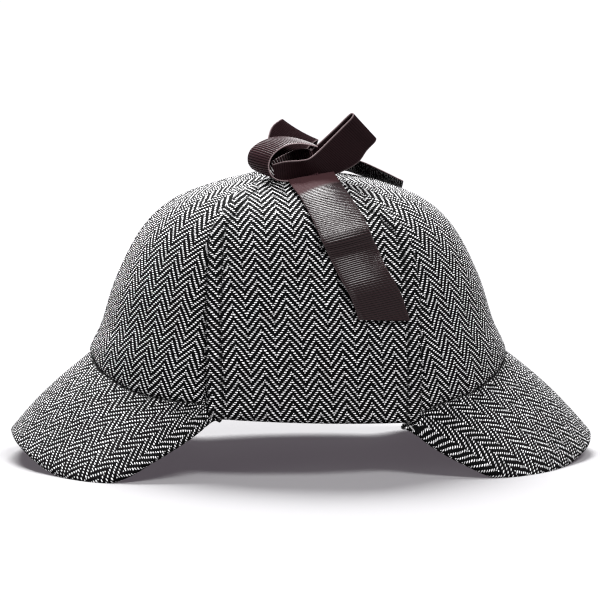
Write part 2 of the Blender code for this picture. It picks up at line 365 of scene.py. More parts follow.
def add_mesh(name, vertices, faces, uvs, material, painted_light=None):
    """A mesh with one UV, in metres of cloth, for each corner of each face.

    The values given last are painted light, one for each vertex. On tweed a value from 0 to 1 says
    how much painted shade darkens the cloth at seams, edges and grooves and beside the ear flaps.
    On a ribbon, 1 is its edge, painted pale as a highlight, and -1 the stretch where its ribs
    don't show, painted a lighter, plain brown in place of the sheen there.
    """
    mesh = bpy.data.meshes.new(name)
    mesh.from_pydata([tuple(v) for v in vertices], [], faces)
    if painted_light is not None:
        values = mesh.attributes.new("painted_light", "FLOAT", "POINT")
        values.data.foreach_set("value", np.asarray(painted_light, float).ravel())
    layer = mesh.uv_layers.new(name="cloth")
    layer.data.foreach_set("uv", np.asarray(uvs, float).ravel())
    mesh.materials.append(material)
    mesh.validate()
    mesh.shade_smooth()
    mesh.set_sharp_from_angle(angle=math.radians(SHARP_FROM))
    return add_object(name, mesh)


def grid_faces(rows, columns):
    i, j = np.meshgrid(np.arange(rows - 1), np.arange(columns - 1), indexing="ij")
    a = i * columns + j
    return np.stack([a, a + 1, a + columns + 1, a + columns], axis=-1).reshape(-1, 4)


def shell(name, outer, inner, uv, material, mirror=(1, 1), painted_light=None):
    """A closed cloth from grids of its outer and inner points, mirrored as `mirror` says."""
    rows, columns = outer.shape[:2]
    count = rows * columns
    vertices = np.concatenate([outer.reshape(-1, 3), inner.reshape(-1, 3)])
    vertices = vertices * np.array((*mirror, 1.0))
    flat_uv = np.concatenate([uv.reshape(-1, 2), uv.reshape(-1, 2)])
    quads = grid_faces(rows, columns)
    faces = [quads, quads[:, ::-1] + count]
    borders = [
        (np.arange(columns), (0.0, -EDGE_WEAVE)),
        ((rows - 1) * columns + np.arange(columns)[::-1], (0.0, EDGE_WEAVE)),
        (np.arange(rows)[::-1] * columns, (-EDGE_WEAVE, 0.0)),
        (np.arange(rows) * columns + columns - 1, (EDGE_WEAVE, 0.0)),
    ]
    corner_uv = [flat_uv[quads], flat_uv[quads[:, ::-1]]]
    for line, step in borders:
        a, b = line[:-1], line[1:]
        faces.append(np.stack([b, a, a + count, b + count], axis=-1))
        away = np.array(step)
        corner_uv.append(
            np.stack([flat_uv[b], flat_uv[a], flat_uv[a] + away, flat_uv[b] + away], axis=1)
        )
    faces = np.concatenate(faces)
    corner_uv = np.concatenate(corner_uv)
    if mirror[0] * mirror[1] < 0:
        faces = faces[:, ::-1]
        corner_uv = corner_uv[:, ::-1]
    if painted_light is not None:
        painted_light = np.concatenate([painted_light.ravel(), painted_light.ravel()])
    return add_mesh(name, vertices, faces.tolist(), corner_uv, material, painted_light)


# -------- node materials

class Nodes:
    """Short ways to add and join shader nodes."""

    def __init__(self, name):
        self.material = bpy.data.materials.new(name)
        self.material.use_nodes = True
        self.tree = self.material.node_tree
        self.shader = self.tree.nodes["Principled BSDF"]

    def add(self, kind):
        return self.tree.nodes.new(kind)

    def join(self, value, socket):
        if isinstance(value, bpy.types.NodeSocket):
            self.tree.links.new(value, socket)
        else:
            socket.default_value = value

    def math(self, operation, *values, clamp=False):
        node = self.add("ShaderNodeMath")
        node.operation = operation
        node.use_clamp = clamp
        for value, socket in zip(values, node.inputs):
            self.join(value, socket)
        return node.outputs[0]

    def mix(self, factor, first, second):
        node = self.add("ShaderNodeMix")
        node.data_type = "RGBA"
        self.join(factor, node.inputs[0])
        self.join(first, node.inputs[6])
        self.join(second, node.inputs[7])
        return node.outputs[2]

    def times(self, first, *others):
        for value in others:
            first = self.math("MULTIPLY", first, value)
        return first

    def vector(self, x, y, z=0.0):
        node = self.add("ShaderNodeCombineXYZ")
        for value, socket in zip((x, y, z), node.inputs):
            self.join(value, socket)
        return node.outputs[0]

    def parts(self, vector):
        """The x and y of a vector or colour."""
        node = self.add("ShaderNodeSeparateXYZ")
        self.join(vector, node.inputs[0])
        return node.outputs[0], node.outputs[1]

    def noise(self, vector, scale, detail=2.0, roughness=0.5):
        node = self.add("ShaderNodeTexNoise")
        node.inputs["Scale"].default_value = scale
        node.inputs["Detail"].default_value = detail
        node.inputs["Roughness"].default_value = roughness
        self.join(vector, node.inputs["Vector"])
        return node.outputs

    def white_noise(self, vector):
        node = self.add("ShaderNodeTexWhiteNoise")
        node.noise_dimensions = "3D"
        self.join(vector, node.inputs["Vector"])
        return node.outputs["Value"]

    def spread(self, value, low, high):
        """Stretches 0..1 to low..high."""
        return self.math("MULTIPLY_ADD", value, high - low, low)

    def bump(self, height, distance):
        node = self.add("ShaderNodeBump")
        node.inputs["Distance"].default_value = distance
        node.inputs["Strength"].default_value = 1.0
        self.join(height, node.inputs["Height"])
        self.join(node.outputs[0], self.shader.inputs["Normal"])

    def finish(self, colour, roughness, specular):
        for name, value in (
            ("Base Color", colour), ("Roughness", roughness), ("Specular IOR Level", specular)
        ):
            self.join(value, self.shader.inputs[name])
        return self.material

    def cloth_uv(self):
        node = self.add("ShaderNodeUVMap")
        node.uv_map = "cloth"
        return node.outputs[0], *self.parts(node.outputs[0])

    def painted_light(self):
        node = self.add("ShaderNodeAttribute")
        node.attribute_name = "painted_light"
        return node.outputs["Fac"]


PALE_WOOL = (0.93, 0.925, 0.935, 1.0)
# Painted shade: the pale threads darken to this towards their sides and ends.
PALE_SHADE = (0.008, 0.008, 0.009, 1.0)
BLACK_WOOL = (0.0004, 0.0004, 0.0005, 1.0)
BLACK_FIBRE = (0.008, 0.008, 0.009, 1.0)
BLACK = (0.0, 0.0, 0.0, 1.0)

# How far threads wander, in threads: over long waves, and over short ones for warp and weft.
LONG_WANDER = 0.9
SHORT_WANDER = (0.35, 0.3)

# How pale the pale threads are, as ranges of tone.
DASH_TONES = (0.62, 1.25)
ROW_TONES = (0.93, 1.05)
PATCH_TONES = (0.86, 1.14)
FIBRE_TONES = (0.82, 1.34)
# How dark painted shade at seams, edges and grooves makes the pale threads.
PAINTED_SHADE_TONE = 0.06

# A dash of thread: how narrow and how short it is, and how steeply its ends fall.
WEFT_SHAPE = (3.3, 1.12, 2.6)
WARP_SHAPE = (2.1, 0.93, 3.0)


def thread_height(n, place, along, middle, shape):
    """How high a thread stands at its place across the cloth and `along` its dash."""
    narrow, short, steep = shape
    across = n.math("SUBTRACT", n.math("FRACT", place), 0.5)
    sides = n.math("POWER", n.math("ABSOLUTE", n.times(across, narrow)), 2.0)
    from_middle = n.math("ABSOLUTE", n.math("SUBTRACT", along, middle))
    ends = n.math("POWER", n.times(from_middle, short), steep)
    body = n.math("SUBTRACT", n.math("SUBTRACT", 1.0, sides), ends, clamp=True)
    return n.math("POWER", body, 0.5)


def tweed(name, shift=(0.0, 0.0), tone=1.0):
    """Two-and-two twill that turns every eight warps: pale weft over black warp.

    `shift` moves the weave over the cloth, and `tone` makes its pale threads darker or lighter, as
    painted light and shade.
    """
    n = Nodes(name)
    uv, u, v = n.cloth_uv()
    long_waves = n.parts(n.noise(uv, 90.0, 2.0)[1])
    short_waves = n.parts(n.noise(uv, 700.0, 1.0)[1])
    places = []
    for k, (length, pitch) in enumerate(((u, WARP_PITCH), (v, WEFT_PITCH))):
        wander = n.math(
            "ADD",
            n.spread(long_waves[k], -LONG_WANDER, LONG_WANDER),
            n.spread(short_waves[k], -SHORT_WANDER[k], SHORT_WANDER[k]),
        )
        shifted = n.math("ADD", length, shift[k])
        places.append(n.math("MULTIPLY_ADD", shifted, 1 / pitch, wander))
    warp_place, weft_place = places
    warp = n.math("FLOOR", warp_place)
    weft = n.math("FLOOR", weft_place)
    column = n.math("FLOOR", n.times(warp_place, 1 / WARPS_IN_COLUMN))
    odd = n.times(n.math("FRACT", n.times(column, 0.5)), 2.0)
    turn = n.math("MULTIPLY_ADD", odd, -2.0, 1.0)

    # The twill repeats every four threads: the weft shows on the first two, the warp on the rest.
    weft_twill = n.math("ADD", n.times(turn, warp_place), n.math("ADD", weft, odd))
    quarter = n.times(weft_twill, 0.25)
    weft_along = n.times(n.math("FRACT", quarter), 4.0)
    weft_up = n.math("LESS_THAN", weft_along, 2.0)
    weft_height = n.times(thread_height(n, weft_place, weft_along, 1.0, WEFT_SHAPE), weft_up)
    warp_twill = n.math("MULTIPLY_ADD", turn, warp, weft_place)
    warp_along = n.times(n.math("FRACT", n.times(warp_twill, 0.25)), 4.0)
    warp_up = n.math("SUBTRACT", 1.0, weft_up)
    warp_height = n.times(thread_height(n, warp_place, warp_along, 3.0, WARP_SHAPE), warp_up)

    dash = n.white_noise(n.vector(n.math("FLOOR", quarter), weft, column))
    row = n.white_noise(n.vector(weft, 7.3, 1.1))
    patch = n.noise(uv, 60.0, 3.0)[0]
    fibre = n.noise(n.vector(n.times(u, 0.45), v), 5200.0, 2.0, 0.7)[0]
    # The pale threads' brightness varies at random, and painted shade darkens them at seams, edges
    # and grooves.
    bright = n.times(
        n.spread(dash, *DASH_TONES),
        n.spread(row, *ROW_TONES),
        n.spread(patch, *PATCH_TONES),
        n.spread(fibre, FIBRE_TONES[0] * tone, FIBRE_TONES[1] * tone),
        n.spread(n.painted_light(), 1.0, PAINTED_SHADE_TONE),
    )
    # Painted shade: each pale thread is painted darker towards its sides and ends.
    pale = n.mix(weft_height, PALE_SHADE, n.mix(bright, BLACK, PALE_WOOL))
    black = n.mix(n.math("POWER", fibre, 3.0), BLACK_WOOL, BLACK_FIBRE)
    shown = n.math("MULTIPLY", weft_height, 3.2, clamp=True)
    threads = n.math("MAXIMUM", weft_height, n.times(warp_height, 0.8))
    n.bump(n.math("MULTIPLY_ADD", fibre, 0.18, threads), 0.00032)
    return n.finish(n.mix(shown, black, pale), n.spread(fibre, 0.78, 0.95), 0.04)


RIB_BROWN = (0.02, 0.0086, 0.0102)
# Painted shade: the dark painted into the grooves between the ribs.
BETWEEN_RIBS_SHADE = (0.0006, 0.0003, 0.0004, 1.0)
# Painted highlight: the pale brown painted along a ribbon's edge.
EDGE_HIGHLIGHT_BROWN = (0.2, 0.15, 0.155, 1.0)
# Painted light: the lighter brown painted where the ribs don't show, in place of the sheen.
PLAIN_SHEEN_BROWN = (0.03, 0.0105, 0.0125, 1.0)
CROSS_THREAD = 0.00042


def grosgrain(name, shine, pale_edge, tone=1.0, between=0.04):
    """Ribbed ribbon: each rib is a cord under fine crosswise threads, with its edge painted pale
    as a highlight.

    `pale_edge` is how much that painted highlight stands out, `tone` makes the ribs darker or
    lighter as painted light and shade, and `between` is how much of their brown shows between
    them;
    the rest there is painted shade. Where the ribs don't show, a lighter, plain brown is painted
    in place of the sheen.
    """
    n = Nodes(name)
    uv, u, v = n.cloth_uv()
    wander = n.noise(uv, 160.0, 2.0)[0]
    rib_place = n.math("MULTIPLY_ADD", v, 1 / RIB_PITCH, n.spread(wander, -0.1, 0.1))
    across = n.math("SUBTRACT", n.math("FRACT", rib_place), 0.5)
    groove = n.math("POWER", n.math("ABSOLUTE", n.times(across, 2.3)), 2.0)
    cord = n.math("MULTIPLY", n.math("SUBTRACT", 1.0, groove), 1.3, clamp=True)
    wave = n.math("SINE", n.times(u, 2 * math.pi / CROSS_THREAD))
    thread = n.math("MULTIPLY_ADD", wave, 0.5, 0.5)
    patch = n.noise(uv, 120.0, 3.0)[0]
    fibre = n.noise(n.vector(u, n.times(v, 0.3)), 6000.0, 2.0)[0]
    # Painted shade: the brown darkens between the ribs, as far as `between` lets it.
    bright = n.times(
        n.spread(patch, 0.85, 1.15),
        n.spread(fibre, 0.9, 1.1),
        n.spread(thread, 0.94, 1.04),
        n.spread(cord, between, 1.0),
    )
    brown = n.mix(bright, BETWEEN_RIBS_SHADE, (*(tone * part for part in RIB_BROWN), 1.0))
    painted_light = n.painted_light()
    # Painted highlight: the ribbon's edge is painted pale.
    at_edge = n.math("MULTIPLY", painted_light, pale_edge, clamp=True)
    # Painted light: where the ribs don't show, a lighter, plain brown is painted in place of the
    # sheen.
    plain = n.math("MULTIPLY", painted_light, -1.0, clamp=True)
    brown = n.mix(plain, n.mix(at_edge, brown, EDGE_HIGHLIGHT_BROWN), PLAIN_SHEEN_BROWN)
    cord = n.times(cord, n.spread(plain, 1.0, 0.25))
    n.bump(n.math("MULTIPLY_ADD", thread, 0.03, n.times(cord, 0.6)), 0.00005)
    return n.finish(brown, n.spread(cord, 1.0, 0.24), shine)


# -------- crown and brims

def brim_half(brim_table, steps):
    """Half a brim as a finer table, smooth across its middle."""
    mirrored = [(-angle, height, x, -y, z) for angle, height, x, y, z in brim_table[:0:-1]]
    whole = smooth((*mirrored, *brim_table), steps)
    return whole[steps * len(mirrored):]


# Where a front or back panel comes out from behind its brim: angle, and height over the hem.
PANEL_CORNER = ((61.4, 0.003), (62.0, 0.0), (SIDE_SEAM, 0.0))


def end_panel_edge(brim_table, facing):
    """Gives the lower height of a front or back panel, which goes in behind the brim."""
    low = hem_height(facing * crown_base(HEM_HEIGHT, SIDE_SEAM)[0])
    half = brim_half(brim_table, 2)
    columns = [(row[0], row[1] - SEAM_LAP) for row in half if row[0] < LAP_END]
    columns = np.array(columns + [(angle, low + over) for angle, over in PANEL_CORNER])
    return lambda angle: float(np.interp(angle, columns[:, 0], columns[:, 1]))


def side_panel_edge(angle):
    return float(hem_height(crown_base(HEM_HEIGHT, angle)[0]) + CROWN_TO_HEM)


def beside_flap(height, x):
    """How far points of the crown are from the nearest side edge of an ear flap."""
    outline = np.array(FLAP_OUTLINE)
    gaps = [np.abs(x - np.interp(height, outline[:, 0], outline[:, k])) for k in (1, 2)]
    return np.where(height < outline[-1, 0], np.minimum(*gaps), 1.0)


# Seams for seam_lift: between panels, and along a panel's lower edge.
PANEL_SEAM = (0.001, 0.0011, 0.00025, 0.0035, 0.0025)
EDGE_SEAM = (0.0009, 0.001, 0.0002, 0.0035, 0.002)

# How wide painted shade darkens the cloth at these seams, and beside an ear flap.
PANEL_SEAM_SHADE = 0.0009
EDGE_SEAM_SHADE = 0.001
BESIDE_FLAP_SHADE = 0.0016

# The open cloth at front and back, where no flap lies: up to which angle, and how it fades out.
OPEN_TO = 56.0
OPEN_FADE = 8.0
PUCKER = 0.00045
WAVE = 0.00045

# The share of the gap at a seam that the scene's panels keep, and the smallest radius at the top.
GAP_SHARE = 0.35
LEAST_RADIUS = 0.0004


def crown_panel(name, first, last, edge_of, columns, mirror, material, seed):
    """A panel from the angle `first` to `last`, and from the top down to `edge_of` each angle."""
    degrees = np.linspace(first, last, columns + 1)
    heights, lengths = [], []
    for angle in degrees:
        edge = edge_of(angle)
        tried = np.append(CROWN_TOP - PROFILE[:, 0][PROFILE[:, 0] <= CROWN_TOP - edge], edge)
        run = steps_along(crown_base(tried, angle), 0)
        stops = np.linspace(APEX_HOLE, run[-1], CROWN_ROWS + 1)
        heights.append(np.interp(stops, run, tried))
        lengths.append(stops)
    heights = np.array(heights).T[::-1]
    lengths = np.array(lengths).T[::-1]
    angles = np.broadcast_to(degrees, heights.shape)
    plain = crown_point(heights, angles)
    arc = steps_along(plain, 1)
    to_seam = np.minimum(arc, arc[:, [-1]] - arc)
    to_edge = lengths[[0]] - lengths
    u = arc - arc[:, [columns // 2]]
    v = -lengths

    lift = seam_lift(to_seam, *PANEL_SEAM) + seam_lift(to_edge, *EDGE_SEAM)
    flap_gap = beside_flap(heights, mirror[0] * plain[..., 0])
    # Painted shade along the panel's seams, its lower edge and beside an ear flap's edge.
    painted_light = np.maximum(
        bump_at(to_seam, 0.0, PANEL_SEAM_SHADE), bump_at(to_edge, 0.0, EDGE_SEAM_SHADE)
    )
    painted_light = np.maximum(painted_light, 0.9 * bump_at(flap_gap, 0.0, BESIDE_FLAP_SHADE))
    from_ends = np.minimum(angles, 180.0 - angles)
    open_side = clamp((OPEN_TO - from_ends) / OPEN_FADE)
    pucker = ripple(u, 0 * u, seed, 0.009) * np.exp(-to_edge / 0.007)
    lift += PUCKER * pucker * open_side
    wave = WAVE * ripple(u, v, seed + 1, 0.055)
    lift += wave * open_side * clamp(to_seam / 0.01)

    margin = 0.5 * SEAM_GAP * GAP_SHARE
    push = (1 - 2 * (angles - first) / (last - first)) * margin
    radius = np.linalg.norm(plain[..., :2], axis=-1).clip(LEAST_RADIUS)
    turned = angles + np.degrees(push / radius)
    outer = crown_point(heights, turned, lift)
    inner = crown_point(heights, turned, np.minimum(lift, 0.0) * 0.4 - CLOTH)
    uv = np.stack([u, v], axis=-1)
    panel = shell("dressed_crown_panel_" + name, outer, inner, uv, material, mirror, painted_light)
    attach(panel, "root")
    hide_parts("crown_panel_" + name)
    return panel


def pressed(points):
    """Lets the lowest cloth settle on the floor."""
    left = clamp(points[..., 2] / PRESS_REACH)
    height = points[..., 2] - PRESS_DEPTH * (1 - left) ** 2
    points[..., 2] = np.where(height > PRESS_FLAT, height, 0.0)
    return points


def normals_of(points):
    return unit(np.cross(np.gradient(points, axis=0), np.gradient(points, axis=1)))


def up_normals(points, column):
    """Normals of a grid, all turned over if the one in the middle looks down."""
    normal = normals_of(points)
    return -normal if normal[BRIM_ROWS // 2, column, 2] < 0 else normal


def travel(points, ways):
    """Lengths from the first point on, each step measured along the ways at its ends."""
    gaps = (np.diff(points, axis=-2) * (ways[..., 1:, :] + ways[..., :-1, :]) / 2).sum(-1)
    return np.insert(np.cumsum(gaps, axis=-1), 0, 0.0, axis=-1)


# How far the grain of a brim fans out towards its sides.
SPREAD_SHARE = 0.19
SPREAD_ROUND = 0.03
SPREAD_END = 0.145
SPREAD_FADE = 0.06

# A brim goes in behind the crown's cloth at its seam: how far down and in. It thins to half at
# its ends, over these shares of its half length, and bulges this way.
TUCK_DOWN = 0.0004
TUCK_IN = -0.0019
THIN_FROM = 0.86
THIN_OVER = 0.08
BULGE_WAY = (0.6, 0.0, 0.8)
BRIM_PUCKER = 0.00035
BRIM_WAVE = 0.0005
BRIM_SEAM_DEPTH = 0.0008
BRIM_SEAM_WIDTH = 0.0009
# How wide painted shade darkens the brim along its seam.
BRIM_SEAM_SHADE = 0.001


def brim(name, brim_table, facing, slope, material, seed):
    """A brim from its seam out to its rim and back underneath, made to face +X and then turned.

    `slope` is how many degrees its weave runs down from level.
    """
    half = brim_half(brim_table, BRIM_STEPS)
    steps = len(half) - 1
    places = np.arange(-steps, steps + 1)
    section = half[np.abs(places)]
    end = np.abs(places) / steps
    seam_height = section[:, 1] - BRIM_GAP
    seam = crown_point(seam_height, section[:, 0])
    inside = crown_point(seam_height - TUCK_DOWN, section[:, 0], TUCK_IN)
    outer = section[:, 2:5]
    width = np.linalg.norm(outer - seam, axis=1)
    radius = 0.5 * BRIM_CLOTH * (1 - 0.5 * clamp((end - THIN_FROM) / THIN_OVER))
    shares = np.linspace(0.0, 1.0, BRIM_ROWS)[:, None] * (1 - radius / width)
    bulge = BRIM_BULGE * np.sin(math.pi * shares) * (1 - end ** 4)
    top = seam + (outer - seam) * shares[..., None]
    top = np.concatenate([inside[None], top + bulge[..., None] * np.array(BULGE_WAY)])
    top[..., 1] *= np.where(places < 0, -1.0, 1.0)
    normal = up_normals(top, steps)
    run = steps_along(top, 0)
    walk = steps_along(top, 1)
    from_middle = walk - walk[:, [steps]]
    from_seam = run - run[[1]]
    calm = clamp(from_seam / 0.004) * clamp((1 - end) / 0.12)
    pucker = ripple(from_middle, 0 * run, seed, 0.01) * np.exp(-np.abs(from_seam) / 0.008)
    wave = ripple(from_middle, run, seed + 1, 0.06)
    lift = BRIM_PUCKER * pucker * clamp(from_seam / 0.001) + BRIM_WAVE * wave * calm
    lift *= np.clip((width - run) / 0.02, 0.3, 1.0)
    lift -= BRIM_SEAM_DEPTH * bump_at(from_seam, 0.0, BRIM_SEAM_WIDTH) * (from_seam >= 0)
    # Painted shade along the brim's seam.
    painted_light = bump_at(np.maximum(from_seam, 0.0), 0.0, BRIM_SEAM_SHADE)
    top = top + lift[..., None] * normal

    normal = up_normals(top, steps)
    radius = radius[:, None]
    middle = top - radius * normal
    outward = unit(middle[-1] - middle[-2])
    bends = (math.pi * k / RIM_STEPS for k in range(1, RIM_STEPS))
    rim = [
        middle[-1] + radius * (math.cos(bend) * normal[-1] + math.sin(bend) * outward)
        for bend in bends
    ]
    under = (top - 2 * radius * normal)[::-1]
    sheet = np.concatenate([top, np.array(rim), under])
    past_top = steps_along(sheet, 0)[len(top) - 1:]
    sheet[..., 0] *= facing
    sheet = pressed(sheet)

    normal = normals_of(top)
    spread = np.sqrt(top[..., 1] ** 2 + SPREAD_ROUND ** 2)
    side_on = SPREAD_SHARE * clamp((SPREAD_END - np.abs(top[..., 0])) / SPREAD_FADE)
    slope = math.radians(slope)
    way = np.zeros_like(top) + np.array((math.cos(slope), 0.0, -math.sin(slope)))
    way[..., 1] = side_on * top[..., 1] / spread
    way = unit(way - (way * normal).sum(-1, keepdims=True) * normal)
    sideways = np.cross(normal, way)
    u, v = travel(top, sideways), travel(top, way)
    u = u - u[:, [steps]]
    v = v - v[:, [steps]] + travel(top[:, steps], way[:, steps])[:, None]
    past = past_top[1:] - past_top[0]
    u = np.concatenate([u, u[-1] + past * (outward * sideways[-1]).sum(-1)])
    v = np.concatenate([v, v[-1] + past * (outward * way[-1]).sum(-1)])
    uv = np.stack([u, v], axis=-1)

    rows, columns = uv.shape[:2]
    close = np.arange(columns - 1)
    last = (rows - 1) * columns
    faces = [
        grid_faces(rows, columns),
        np.stack([close + 1, close, close + last, close + last + 1], axis=-1),
    ]
    starts = np.arange(len(top) + RIM_STEPS // 2) * columns
    for column, turn in ((0, 1), (columns - 1, -1)):
        line, back = starts + column, last - starts + column
        cap = np.stack([line[:-1], line[1:], back[1:], back[:-1]], axis=-1)
        faces.append(cap[:, ::turn])
    faces = np.concatenate(faces)
    if facing > 0:
        faces = faces[:, ::-1]
    painted_light = np.concatenate([painted_light, np.zeros((rows - len(top), columns))])
    made = add_mesh(
        "dressed_" + name, sheet.reshape(-1, 3), faces.tolist(), uv.reshape(-1, 2)[faces],
        material, painted_light,
    )
    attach(made, "root")
    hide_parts(name)
    return made


# -------- ear flaps

# Where the columns of cloth lie inside a flap's edge.
EDGE_STOPS = (
    0.0, 0.00012, 0.0003, 0.0006, 0.001, 0.0016, 0.0025, 0.0036, 0.0048, 0.006,
    0.0068, 0.0073, 0.0077, 0.0081, 0.0085, 0.009, 0.0098, 0.011,
)

# Topstitching: how far inside the edge, then each stitch's length, spacing and thickness, and how
# far the row stays from the hem at its start and its end.
STITCH_IN = 0.0079
STITCH_LENGTH = 0.0024
STITCH_EVERY = 0.0033
STITCH_RADIUS = 0.00024
STITCH_MARGINS = (0.006, 0.004)
STITCH_SUNK = 0.00038
STITCH_DIP = 0.00022
STITCH_RINGS = 5
STITCH_SIDES = 6
FLAP_INSIDE_COLUMNS = 62

# How a flap's weave leans and where it starts, so that its zigzags fall as in the photo.
FLAP_LEAN = 0.058
WEAVE_AT = (-0.0028, 0.0)

# A flap's edge is rounded over this width, and its groove is this deep and wide.
EDGE_ROUND = 0.0017
GROOVE_DEPTH = 0.0006
GROOVE_WIDTH = 0.00065
FLAP_SWELL = 0.00035
FLAP_WAVE = 0.00035
FLAP_PUCKER = 0.00012
# How wide painted shade darkens the flap along its edge and in its groove.
FLAP_EDGE_SHADE = 0.0012
STITCH_GROOVE_SHADE = 0.0009

# Where the fold under the hem ends, inside the crown's cloth.
FOLD_END = 0.0002 - CLOTH


def flap_columns(back, front):
    """x of every column of one row, closer together along both edges."""
    stops = np.array(EDGE_STOPS) * min(1.0, (front - back) / (2.1 * EDGE_STOPS[-1]))
    inside = np.linspace(back + stops[-1], front - stops[-1], FLAP_INSIDE_COLUMNS)[1:-1]
    return np.concatenate([back + stops, inside, front - stops[::-1]])


def flap_run(height, x):
    """Length of cloth up from the hem at a fixed x."""
    share = np.linspace(0, 1, 40)[:, None, None]
    heights = HEM_HEIGHT + (height - HEM_HEIGHT) * share
    half_length, half_width = crown_size(heights)
    y = half_width * np.sqrt(clamp(1 - (x / half_length) ** 2))
    return np.sqrt(np.diff(heights, axis=0) ** 2 + np.diff(y, axis=0) ** 2).sum(0)


def ear_flap(name, side, material, seed):
    """A flap folded up from the hem over the crown, with its edge rounded and topstitched."""
    outside = FLAP_GAP + FLAP_CLOTH
    outline = smooth(FLAP_OUTLINE, FINE_STEPS)
    tip = np.linspace(outline[-1, 1], outline[-1, 2], 24)
    edge_points = np.concatenate(
        [
            point_at_x(outline[:, 0], outline[:, 1], outside),
            point_at_x(outline[-1, 0], tip, outside),
            point_at_x(outline[::-1, 0], outline[::-1, 2], outside),
        ]
    )
    ends = 1 - (1 - np.linspace(0, 1, FLAP_ROWS + 1)) ** 1.35
    table = np.array([along(FLAP_OUTLINE, t * (len(FLAP_OUTLINE) - 1)) for t in ends])
    x = np.array([flap_columns(back, front) for _, back, front in table])
    height = np.broadcast_to(table[:, [0]], x.shape)
    fade = np.clip(1 - (height - HEM_HEIGHT) / HEM_REACH, 0.0, None)
    height = height + fade * HEM_SLOPE * x
    plain = point_at_x(height, x, outside)
    to_edge = np.linalg.norm(plain[:, :, None] - edge_points, axis=-1).min(axis=-1)
    rounding = np.sqrt(1 - (1 - clamp(to_edge / EDGE_ROUND)) ** 2)
    stitch = np.abs(np.sin(math.pi * steps_along(table[:, :2], 0)[:, None] / STITCH_EVERY))
    groove = bump_at(to_edge, STITCH_IN, GROOVE_WIDTH) * (0.75 + 0.25 * stitch)
    swell = bump_at(to_edge, 0.0045, 0.0028)
    wave = ripple(x, height, seed, 0.045) * clamp(to_edge / 0.012)
    pucker = ripple(x, height, seed + 1, 0.012) * np.exp(-to_edge / 0.008)
    lift = FLAP_GAP + FLAP_CLOTH * rounding - GROOVE_DEPTH * groove + FLAP_SWELL * swell
    lift = lift + FLAP_WAVE * wave + FLAP_PUCKER * pucker

    # The fold, from inside the crown's cloth round under the hem to the flap's own faces.
    fold_outer, fold_inner = [], []
    hem = hem_height(x[0])
    squeeze = (lift[0] - FLAP_GAP) / FLAP_CLOTH
    for k in range(-1, FOLD_STEPS):
        bend = math.radians(90 * max(k, 0) / FOLD_STEPS)
        reach = FOLD_END if k < 0 else outside - FLAP_FOLD * (1 - math.sin(bend))
        inside = FOLD_END if k < 0 else max(reach - FLAP_CLOTH, FLAP_GAP * math.sin(bend))
        drop = FLAP_FOLD * (1 - math.cos(bend))
        if reach >= FLAP_GAP:
            reach = np.where(squeeze < 1, FLAP_GAP + (reach - FLAP_GAP) * squeeze, reach)
        fold_outer.append(point_at_x(hem + drop, x[0], reach))
        fold_inner.append(point_at_x(hem + FLAP_CLOTH, x[0], np.minimum(inside, reach)))
    rise = clamp((table[:, [0]] - HEM_HEIGHT) / (6 * FLAP_FOLD))
    moved = height + (1 - rise) * np.maximum(hem + FLAP_FOLD - height, 0)
    outer = np.concatenate([fold_outer, point_at_x(moved, x, lift)])
    inner_height = np.maximum(moved, hem + FLAP_CLOTH)
    inner = np.concatenate([fold_inner, point_at_x(inner_height, x, FLAP_GAP)])

    folded = FOLD_STEPS + 1
    run = flap_run(moved, x)
    under = -steps_along(outer[: folded + 1][::-1], 0)[::-1][:-1]
    v = np.concatenate([run[[0]] + under, run])
    u = np.concatenate([np.repeat(x[:1], folded, axis=0), x]) + FLAP_LEAN * v
    uv = np.stack([u, v], axis=-1)
    # Painted shade along the flap's edge and in the groove of its stitching.
    painted_light = 0.95 * bump_at(to_edge, 0.0, FLAP_EDGE_SHADE)
    painted_light = painted_light + 0.85 * bump_at(to_edge, STITCH_IN, STITCH_GROOVE_SHADE)
    painted_light = np.concatenate([np.repeat(painted_light[:1], folded, axis=0), painted_light])
    made = shell("dressed_" + name, outer, inner, uv, material, (1, side), painted_light)
    add_stitches(made, outline, side, material)
    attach(made, "root")
    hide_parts(name)
    return made


def stitch_line(outline):
    """Points of the groove inside a flap's edge, up its back edge and down its front edge."""
    line = []
    for edge, inward, points in ((1, 1, outline), (2, -1, outline[::-1])):
        for k, row in enumerate(points):
            before, after = points[max(k - 1, 0)], points[min(k + 1, len(points) - 1)]
            a, b = (point_at_x(end[0], end[edge], 0.0) for end in (before, after))
            steep = abs(after[0] - before[0]) / max(np.linalg.norm(b - a), 1e-9)
            step = min(STITCH_IN, 0.42 * (row[2] - row[1]))
            x = row[edge] + inward * step * max(steep, 0.35)
            h = row[0] - step * math.sqrt(max(0.0, 1 - min(steep, 1) ** 2)) * 0.9
            line.append((h + max(0.0, 1 - (h - HEM_HEIGHT) / HEM_REACH) * HEM_SLOPE * x, x))
    line = np.array(line)
    return point_at_x(line[:, 0], line[:, 1], FLAP_GAP + FLAP_CLOTH - STITCH_SUNK)


